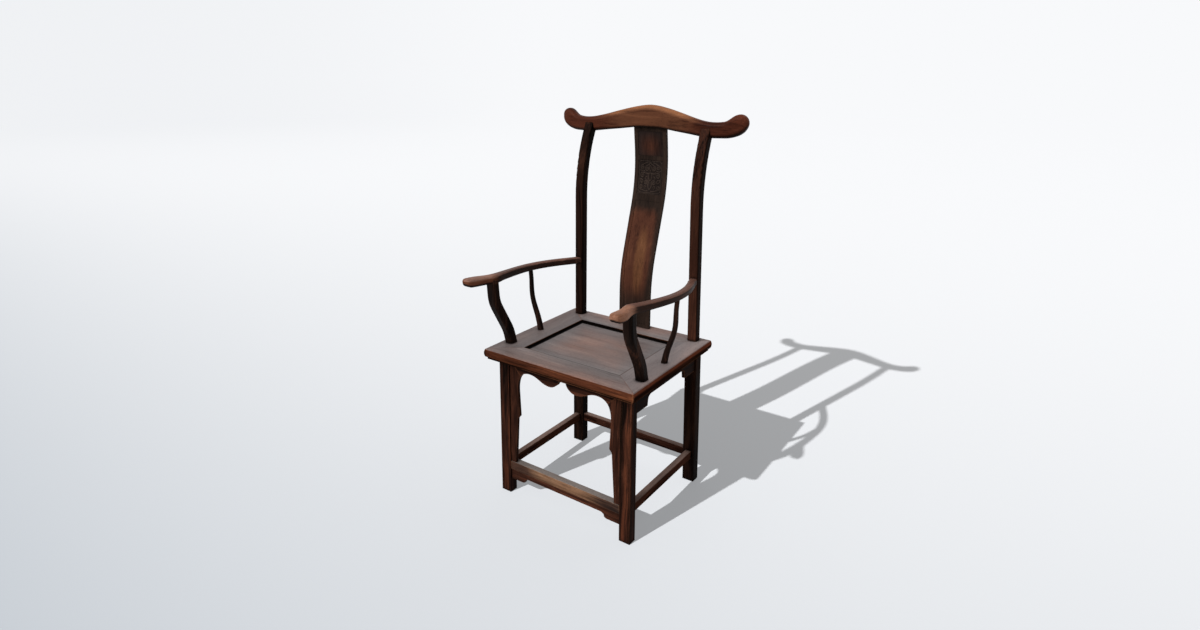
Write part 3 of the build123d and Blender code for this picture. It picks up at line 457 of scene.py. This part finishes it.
def arm_wood():
    """Dark at the sides, lighter on top and most at the hand's end, partly wear and partly painted highlight,
    with painted light on the right hand's end and painted shade below.
    """
    paddle_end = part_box("arm_right")[0].y
    w = Wood("arm_wood", "Y", tone(24, 14, 11), tone(44, 28, 22), tone(66, 43, 34), spread=0.18)
    # lighter top: wear from hands, with painted highlight
    top = w.ragged(w.ramp(w.up, 0.3, 0.85), 0.3)
    w.over(top, tone(78, 52, 43), tone(102, 72, 62), tone(122, 88, 76))
    # the hand's end lighter: wear, with painted light on its front and top
    tip = w.ragged(w.fade(w.y, *shifted(paddle_end, arm_tip)), 0.2)
    w.over(w.times(tip, w.ramp(w.up, -0.4, 0.1)), tone(78, 44, 30), tone(106, 64, 45), tone(126, 80, 58))
    w.over(w.times(tip, w.ramp(w.up, 0.0, 0.55)), tone(110, 78, 66), tone(136, 102, 88), tone(152, 118, 103))
    # painted light on the right hand's end, all but its underside
    lit_right_tip = w.times(tip, w.ramp(w.x, *side_change), w.ramp(w.up, -0.6, 0.0))
    w.over(lit_right_tip, tone(122, 82, 62), tone(152, 108, 86), tone(170, 128, 106))
    # painted shade below
    w.over(w.fade(w.up, -0.8, -0.25, 0.9), black_shade_and_grime)
    return w.finish(specular=0.03, gloss=0.4, wear=0.3)


def mitre_distance(w, from_side, from_end, inset):
    """How far a place is from the mitre's line, which bends where the moulding ends."""
    side_width = half_width - hole_x
    front_width = hole_front - front_y
    back_width = back_y - hole_back
    end_width = w.ramp(w.y, *end_change, front_width, back_width)
    past_side = w.math("SUBTRACT", from_side, moulding_mitre)
    first = w.times(past_side, w.math("SUBTRACT", end_width, moulding_mitre))
    second = w.times(w.math("SUBTRACT", from_end, moulding_mitre), side_width - moulding_mitre)
    length = math.hypot(side_width - moulding_mitre, (front_width + back_width) / 2 - moulding_mitre)
    across = w.math("DIVIDE", w.away(first, second), length)
    corner = w.times(w.away(from_side, from_end), math.sqrt(0.5))
    inner_part = w.ramp(inset, moulding_mitre - mitre_bend, moulding_mitre + mitre_bend)
    beyond = w.times(corner, w.math("SUBTRACT", 1.0, inner_part))
    return w.math("ADD", w.times(across, inner_part), beyond)


def lay_rail_top(w, from_side, from_end, inset, redness, contrast):
    """Redder towards the seat's edge and away from the corners, with painted shade on the left and painted
    light on the right.
    """
    outer = w.ramp(inset, 0.0, 0.10, 1.0, 0.05)
    off_corner = w.ramp(w.away(from_side, from_end), 0.0, 0.14, 0.5, 1.0)
    patchy = w.ramp(w.clouds, 0.3, 0.65, 0.45, 1.0)
    w.over(w.times(outer, off_corner, patchy, redness), *seat_red)
    # painted shade on the left side rail's top and painted light on the right one's
    w.over(w.fade(w.x, -half_width, 0.0, contrast), tone(72, 62, 62))
    w.over(w.ramp(w.x, 0.0, half_width, 0.0, contrast), tone(148, 137, 136))


def lay_hole_seam(w):
    beyond_side = w.math("SUBTRACT", w.away(w.x), hole_x)
    beyond_end = w.math("SUBTRACT", w.away(w.y, hole_middle), hole_half)
    past_hole = w.math("MAXIMUM", beyond_side, beyond_end)
    # a painted shadow line round the opening for the panel
    w.over(w.fade(past_hole, *hole_seam, 0.85), black_shade_and_grime)


def lay_rail_edge(w, inset):
    """Red-brown moulded edge with painted shade on its sides under a lighter rim, on its left end and in the
    cove at its foot, and black painted shade on the inner faces and underside.
    """
    level = w.fade(w.up, 0.45, 0.8)
    w.over(level, tone(42, 22, 15), tone(82, 45, 30), tone(122, 72, 47))
    # painted shade on the side faces, kept lighter in a rim below the top
    shaded_side_face = w.times(level, w.ramp(w.sideways, 0.3, 0.8))
    w.over(shaded_side_face, tone(12, 7, 5), tone(32, 18, 13), tone(54, 30, 21))
    rim = w.ramp(w.z, rail_high.z - edge_rim[0], rail_high.z - edge_rim[1])
    w.over(w.times(shaded_side_face, rim), tone(58, 30, 21), tone(98, 52, 36), tone(128, 70, 48))
    # painted shade on the left end, in the cove above the underside, on the recess's inner faces and on the
    # underside
    w.over(w.times(level, w.fade(w.x, *shifted(-half_width, left_end), 0.9)), black_shade_and_grime)
    w.over(w.times(level, w.fade(w.z, *shifted(rail_low.z, edge_foot), 0.9)), tone(18, 11, 8))
    w.over(w.times(level, w.ramp(inset, *inner_faces)), tone(13, 8, 7))
    w.over(w.fade(w.up, -0.7, -0.1, 0.9), black_shade_and_grime)


def seat_rail_wood(name, grain, redness, contrast):
    """Grey worn top with a moulded edge, dark lines at the mitres, and painted shade on the edge and in a
    line round the panel.
    """
    w = Wood(name, grain, *seat_grey, spread=0.17)
    from_side = w.math("SUBTRACT", half_width, w.away(w.x))
    from_end = w.math("SUBTRACT", (back_y - front_y) / 2, w.away(w.y, middle_y))
    inset = w.math("MINIMUM", from_side, from_end)
    lay_rail_top(w, from_side, from_end, inset, redness, contrast)
    seam = mitre_distance(w, from_side, from_end, inset)
    lay_hole_seam(w)
    lay_rail_edge(w, inset)
    w.over(w.fade(seam, *mitre_seam, 0.35), black_shade_and_grime)
    shine = w.ramp(w.up, 0.3, 0.9, 0.0, 0.06)
    return w.finish(specular=shine, gloss=0.5, wear=0.4, wear_tone=tone(136, 88, 60), mottle=0.14)


def seat_panel_wood():
    """Redder middle, grey border, and a near-black band where the panel meets its frame: a dark gap with
    painted shade from the frame's recess.
    """
    w = Wood("seat_panel_wood", "X", *seat_grey, spread=0.2)
    from_side = w.math("SUBTRACT", hole_x, w.away(w.x))
    from_end = w.math("SUBTRACT", hole_half, w.away(w.y, hole_middle))
    inset = w.math("MINIMUM", from_side, from_end)
    patchy = w.ramp(w.clouds, 0.3, 0.6, 0.55, 1.0)
    w.over(w.times(w.ramp(inset, 0.0, 0.12), patchy, 0.85), *seat_red)
    # a dark gap with painted shade from the frame's recess
    w.over(w.fade(inset, *panel_groove), black_shade_and_grime)
    return w.finish(specular=0.07, gloss=0.5, wear=0.0, mottle=0.12, crevice=0.006)


def splat_wood():
    """The splat's frame and tall lower panel: charcoal above, warm brown below with a lighter streak."""
    low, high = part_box("splat_panel_lower")
    w = Wood("splat_wood", "Z", tone(25, 19, 16), tone(43, 33, 28), tone(56, 43, 36), spread=0.2)
    height = w.math("DIVIDE", w.math("SUBTRACT", w.z, low.z), high.z - low.z)
    ends = w.times(w.fade(height, 0.84, 1.02), w.ramp(height, 0.05, 0.5, 0.15, 1.0))
    sides = w.ramp(w.away(w.x, -0.006), 0.03, 0.062, 1.0, 0.25)
    w.over(w.ragged(w.times(ends, sides), 0.15), tone(54, 31, 23), tone(78, 46, 34), tone(92, 57, 41))
    near_middle = w.fade(w.away(w.x, 0.006), 0.002, 0.034)
    half_way_up = w.fade(w.away(height, 0.53), 0.06, 0.42)
    streak = w.ragged(w.times(near_middle, half_way_up), 0.15)
    w.over(streak, tone(76, 48, 33), tone(98, 63, 42), tone(115, 76, 52))
    return w.finish(wear=0.0, mottle=0.1, crevice=0.003, shade_depth=0.7)


def splat_top_wood():
    """Charcoal with a browner patch a little below the middle."""
    low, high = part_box("splat_panel_top")
    w = Wood("splat_top_wood", "Z", tone(24, 19, 18), tone(38, 31, 29), tone(50, 40, 36), spread=0.18)
    across = w.fade(w.away(w.x), 0.0, 0.06)
    upright = w.fade(w.away(w.z, low.z + 0.4 * (high.z - low.z)), 0.0, 0.055)
    patchy = w.ramp(w.clouds, 0.25, 0.6, 0.5, 1.0)
    w.over(w.times(across, upright, patchy), tone(42, 24, 19), tone(62, 36, 27), tone(74, 44, 33))
    return w.finish(wear=0.0, mottle=0.12, crevice=0.003, shade_depth=0.7)


def carved_wood():
    """Dirt in the cut ground and rubbed ridges, by the height that the carved mesh keeps at its points."""
    w = Wood("carved_wood", "Z", tone(34, 27, 24), tone(46, 37, 33), tone(58, 47, 41), spread=0.18)
    ridge = w.add("Attribute", {}, attribute_name="ridge").outputs["Fac"]
    w.over(w.fade(ridge, 0.05, 0.4, 0.8), tone(18, 13, 12), tone(29, 23, 21), tone(40, 32, 29))
    w.over(w.ramp(ridge, 0.5, 0.95, 0.0, 0.8), tone(44, 36, 31), tone(58, 48, 42), tone(70, 58, 51))
    return w.finish(wear=0.3, wear_tone=tone(84, 70, 61), mottle=0.2, crevice=0.0035, edge=0.0018)


def apron_wood(name, grain, tones):
    return Wood(name, grain, *tones).finish(specular=0.01)


def foot_stretcher_wood():
    """Lighter in its middle, darker to the right, and greyest where feet wear its top."""
    w = Wood("foot_stretcher_wood", "X", tone(36, 22, 17), tone(66, 44, 34), tone(88, 61, 48))
    middle = w.ragged(w.fade(w.away(w.x), 0.03, 0.2), 0.3)
    w.over(middle, tone(86, 60, 42), tone(122, 90, 68), tone(144, 110, 84))
    w.over(w.ramp(w.x, 0.08, 0.2, 0.0, 0.5), tone(28, 19, 16), tone(52, 38, 32), tone(74, 54, 46))
    w.over(w.worn_top(), tone(124, 115, 110))
    return w.finish(specular=0.05, gloss=0.45, wear_tone=tone(140, 104, 76))


def stretcher_wood(name, grain):
    w = Wood(name, grain, tone(28, 14, 10), tone(62, 36, 27), tone(92, 55, 42))
    w.over(w.worn_top(), tone(102, 80, 71), tone(124, 101, 92), tone(140, 117, 107))
    return w.finish(specular=w.ramp(w.up, 0.3, 0.9, 0.0, 0.04))


def peg_wood():
    w = Wood("peg_wood", "Z", tone(24, 15, 12), tone(48, 30, 22), tone(66, 44, 34))
    return w.finish()


def batten_wood():
    w = Wood("batten_wood", "Y", tone(48, 34, 27), tone(76, 56, 44), tone(98, 74, 59))
    return w.finish(wear=0.2)


# The order of these calls sets each material's place in the noise.
splat_rails = [f"splat_rail_{place}" for place in ("bottom", "lower", "upper", "top")]
dress(front_leg_wood(), "front_leg_")
dress(rear_leg_wood(), "rear_leg_")
dress(stick_wood(), "gooseneck_", "side_post_")
dress(crest_wood(), "crest_rail")
dress(arm_wood(), "arm_")
dress(seat_rail_wood("seat_rail_x_wood", "X", 1.0, 0.0), "seat_rail_front", "seat_rail_back")
dress(seat_rail_wood("seat_rail_y_wood", "Y", 0.6, 0.35), "seat_rail_")
dress(seat_panel_wood(), "seat_panel")
dress(batten_wood(), "seat_batten_")
dress(splat_wood(), "splat_panel_lower", "splat_stile_", *splat_rails)
dress(splat_top_wood(), "splat_panel_top")
dress(apron_wood("apron_x_wood", "X", apron_brown), "front_apron_top", "rear_apron", "foot_apron")
dress(apron_wood("apron_y_wood", "Y", apron_black), "side_apron_")
dress(apron_wood("apron_z_wood", "Z", apron_brown), "front_apron_")
dress(foot_stretcher_wood(), "foot_stretcher")
dress(stretcher_wood("stretcher_x_wood", "X"), "stretcher_rear")
dress(stretcher_wood("stretcher_y_wood", "Y"), "stretcher_")
dress(peg_wood(), "seat_frame_pegs", "crest_rail_pegs")


# ---- Carved panel of the splat ----
# Its cloud scroll is drawn in millimetres from the bottom middle of the panel, and only for the right half.
millimetre = 0.001
carved_low, carved_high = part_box("splat_panel_carved")
face_half = 45.0                 # between the stiles
face_height = (carved_high.z - carved_low.z) / millimetre
tongue_half = carved_high.x / millimetre
tongue_drop = 0.76               # of the tongues behind the face, front and back
tongue_gap = 0.01                # across the step from the face to its tongues
carving_step = 0.6
dot_step = 0.4                   # along a ridge's line
coil_steps = 50                  # in a turn
ground_level = -0.55             # of the cut ground, from the uncut face
ridge_rise = 1.3
uncut_border = 2.0
tool_marks = 0.05
mark_across = 2.1                # radians of their waves in a millimetre, as in the next three
mark_slant = 0.8
mark_height = 1.7
mark_sway_height = 0.9
mark_sway = 1.3                  # radians
slope_width = 1.5                # of a ridge's foot, in its own half widths
ridge_round = 1.3
face_margin = 0.1                # past the face's edge, for the CAD node's points that lie on it
row_decimals = 4                 # of the metres to which the CAD node's rows of points are rounded
row_reach = 0.0002               # metres on either side of a row
bend_degree = 4                  # of the curves that the board follows
sharp_angle = math.radians(65)


def circle(centre, radius, turn):
    """Points round a centre, one for each turn in radians."""
    return np.stack([centre[0] + radius * np.cos(turn), centre[1] + radius * np.sin(turn)], 1)


def arc(centre, radius, start, end, steps=16):
    return circle(centre, radius, np.radians(np.linspace(start, end, steps)))


def bend(*points, steps=12):
    """A smooth line through the points."""
    p = np.array(points, float)
    p = np.vstack([2 * p[0] - p[1], p, 2 * p[-1] - p[-2]])
    t = np.linspace(0, 1, steps, endpoint=False)[:, None]
    pieces = [
        b + 0.5 * ((c - a) * t + (2 * a - 5 * b + 4 * c - d) * t**2 + (3 * b - a - 3 * c + d) * t**3)
        for a, b, c, d in zip(p, p[1:], p[2:], p[3:])
    ]
    return np.vstack([*pieces, p[-2]])


def scroll(centre, inner, outer, end, turns, *tail):
    """A spiral from its eye outwards, which runs on through the tail's points."""
    share = np.linspace(0, 1, int(coil_steps * abs(turns)))
    turn = np.radians(end) + 2 * math.pi * turns * (share - 1)
    radius = inner + (outer - inner) * share
    coil = circle(centre, radius, turn)
    return np.vstack([coil, bend(coil[-1], *tail)])


def carved_lines():
    """Each ridge's line and half its width."""
    frame_line = np.vstack([
        (0, 104), arc((41, 104), 4.5, 180, 270), arc((41, 4), 4.5, 90, 180), (0, 4),
    ])
    return [
        (frame_line, 0.9),
        (scroll((12, 80), 1.4, 8.0, 60, 1.45, (9.5, 91), (4.5, 94), (0, 99.5)), 1.35),
        (scroll((29, 84), 1.3, 7.4, 95, 1.35, (22, 94.5), (16, 98), (10.5, 99)), 1.2),
        (bend((0, 90), (3.2, 84), (2.4, 77), (0, 72)), 1.2),
        (scroll((28, 58.5), 1.4, 8.6, 105, 1.4, (18, 65), (9, 64), (0, 66.5)), 1.35),
        (bend((4.6, 62), (5.8, 53), (4.0, 46), (0, 41.5)), 1.2),
        (scroll((14, 35.5), 1.4, 8.4, 180, 1.5, (6.6, 28), (4.5, 20), (0, 13.5)), 1.35),
        (bend((37.5, 46), (34, 37.5), (28, 35), (25.5, 40), (29.5, 44.5), (37.5, 46)), 1.2),
        (scroll((31, 21), 1.3, 7.6, -90, -1.4, (22, 11), (13, 8.5), (6, 9.5)), 1.2),
        (bend((38, 73.5), (31, 71.5), (24.5, 73), (19.5, 69.5)), 1.1),
        (bend((12, 55), (16.5, 53), (18.5, 48.5), (17, 46.5)), 1.0),
        (bend((14, 22), (18, 25.5), (20, 21), (17, 16)), 1.0),
    ]


def carving(across, height):
    """How far the carved face stands in front of the uncut face, for grids of places."""
    places = np.stack([np.abs(across).ravel(), height.ravel()], 1)
    ridges = np.zeros(len(places))
    for line, half in carved_lines():
        length = np.r_[0, np.cumsum(np.hypot(*np.diff(line, axis=0).T))]
        even = np.linspace(0, length[-1], int(length[-1] / dot_step) + 2)
        dots = np.stack([np.interp(even, length, line[:, axis]) for axis in (0, 1)], 1)
        nearest = np.full(len(places), np.inf)
        for dot in dots:
            nearest = np.minimum(nearest, ((places - dot) ** 2).sum(1))
        ridges = np.maximum(ridges, np.clip(ridge_round * (1 - nearest / (slope_width * half) ** 2), 0, 1))
    ridges = ridges.reshape(across.shape)
    ripple = np.sin(mark_across * across + mark_sway * np.sin(mark_sway_height * height))
    marks = tool_marks * ripple * np.sin(mark_height * height + mark_slant * across)
    cut = ground_level + ridge_rise * ridges + marks * (1 - ridges)
    border = np.minimum(face_half - np.abs(across), np.minimum(height, face_height - height))
    return np.where(border < uncut_border, 0.0, cut)


def carved_bends():
    """The curves that the CAD node's front and back follow, as polynomials of the height."""
    places = np.array([v.co for v in cad["splat_panel_carved"].data.vertices])
    face = places[np.abs(places[:, 0]) < (face_half + face_margin) * millimetre]
    rows = np.unique(np.round(face[:, 2], row_decimals))
    depths = [face[np.abs(face[:, 2] - row) < row_reach, 1] for row in rows]
    return [
        np.polyfit(rows - carved_low.z, [pick(depth) for depth in depths], bend_degree)
        for pick in (np.min, np.max)
    ]


def board_faces(wide, deep, tall):
    """The faces of a closed board whose points are rows from the bottom, the front's before the back's."""
    front = np.arange(tall * wide).reshape(tall, wide).tolist()
    back = (tall * wide + np.arange(tall * deep)).reshape(tall, deep).tolist()
    faces = []
    for ahead, ahead_up, behind, behind_up in zip(front, front[1:], back, back[1:]):
        faces += [(ahead[i], ahead[i + 1], ahead_up[i + 1], ahead_up[i]) for i in range(wide - 1)]
        faces += [(behind[i + 1], behind[i], behind_up[i], behind_up[i + 1]) for i in range(deep - 1)]
        faces.append((behind[0], ahead[0], ahead_up[0], behind_up[0]))
        faces.append((ahead[-1], behind[-1], behind_up[-1], ahead_up[-1]))
    faces.append(back[0] + front[0][::-1])
    faces.append(front[-1] + back[-1][::-1])
    return faces


def make_carved_panel():
    """A board bent as its CAD node is, with tongues at its sides and the scroll cut into its front."""
    front_bend, back_bend = carved_bends()
    beside = face_half + tongue_gap
    columns = np.linspace(-face_half, face_half, int(2 * face_half / carving_step) + 1)
    columns = np.r_[-tongue_half, -beside, columns, beside, tongue_half]
    heights = np.linspace(0, face_height, int(face_height / carving_step) + 1)
    across, height = np.meshgrid(columns, heights)
    on_tongue = np.abs(across) > face_half + tongue_gap / 2
    stands = np.where(on_tongue, -tongue_drop, carving(across, height)) * millimetre
    sinks = np.where(on_tongue, tongue_drop, 0.0) * millimetre

    def surface(curve, forward):
        y = np.polyval(curve, height * millimetre) - forward
        return np.stack([across * millimetre, y, carved_low.z + height * millimetre], 2)

    front = surface(front_bend, stands)
    # the back keeps only the columns at its corners
    back = surface(back_bend, sinks)[:, [0, 1, 2, -3, -2, -1]]
    vertices = np.vstack([front.reshape(-1, 3), back.reshape(-1, 3)])

    mesh = bpy.data.meshes.new("splat_carving")
    mesh.from_pydata(vertices.tolist(), [], board_faces(len(columns), back.shape[1], len(heights)))
    ridge = np.full(len(vertices), -ground_level / ridge_rise)  # the uncut level
    ridge[:stands.size] = np.clip((stands / millimetre - ground_level) / ridge_rise, 0, 1).ravel()
    mesh.attributes.new("ridge", "FLOAT", "POINT").data.foreach_set("value", ridge)
    mesh.polygons.foreach_set("use_smooth", [True] * len(mesh.polygons))
    mesh.set_sharp_from_angle(angle=sharp_angle)
    mesh.materials.append(carved_wood())
    panel = bpy.data.objects.new("splat_carving", mesh)
    bpy.context.scene.collection.objects.link(panel)
    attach(panel, "root")
    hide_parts("splat_panel_carved")


make_carved_panel()

bpy.context.scene.view_settings.view_transform = "Standard"
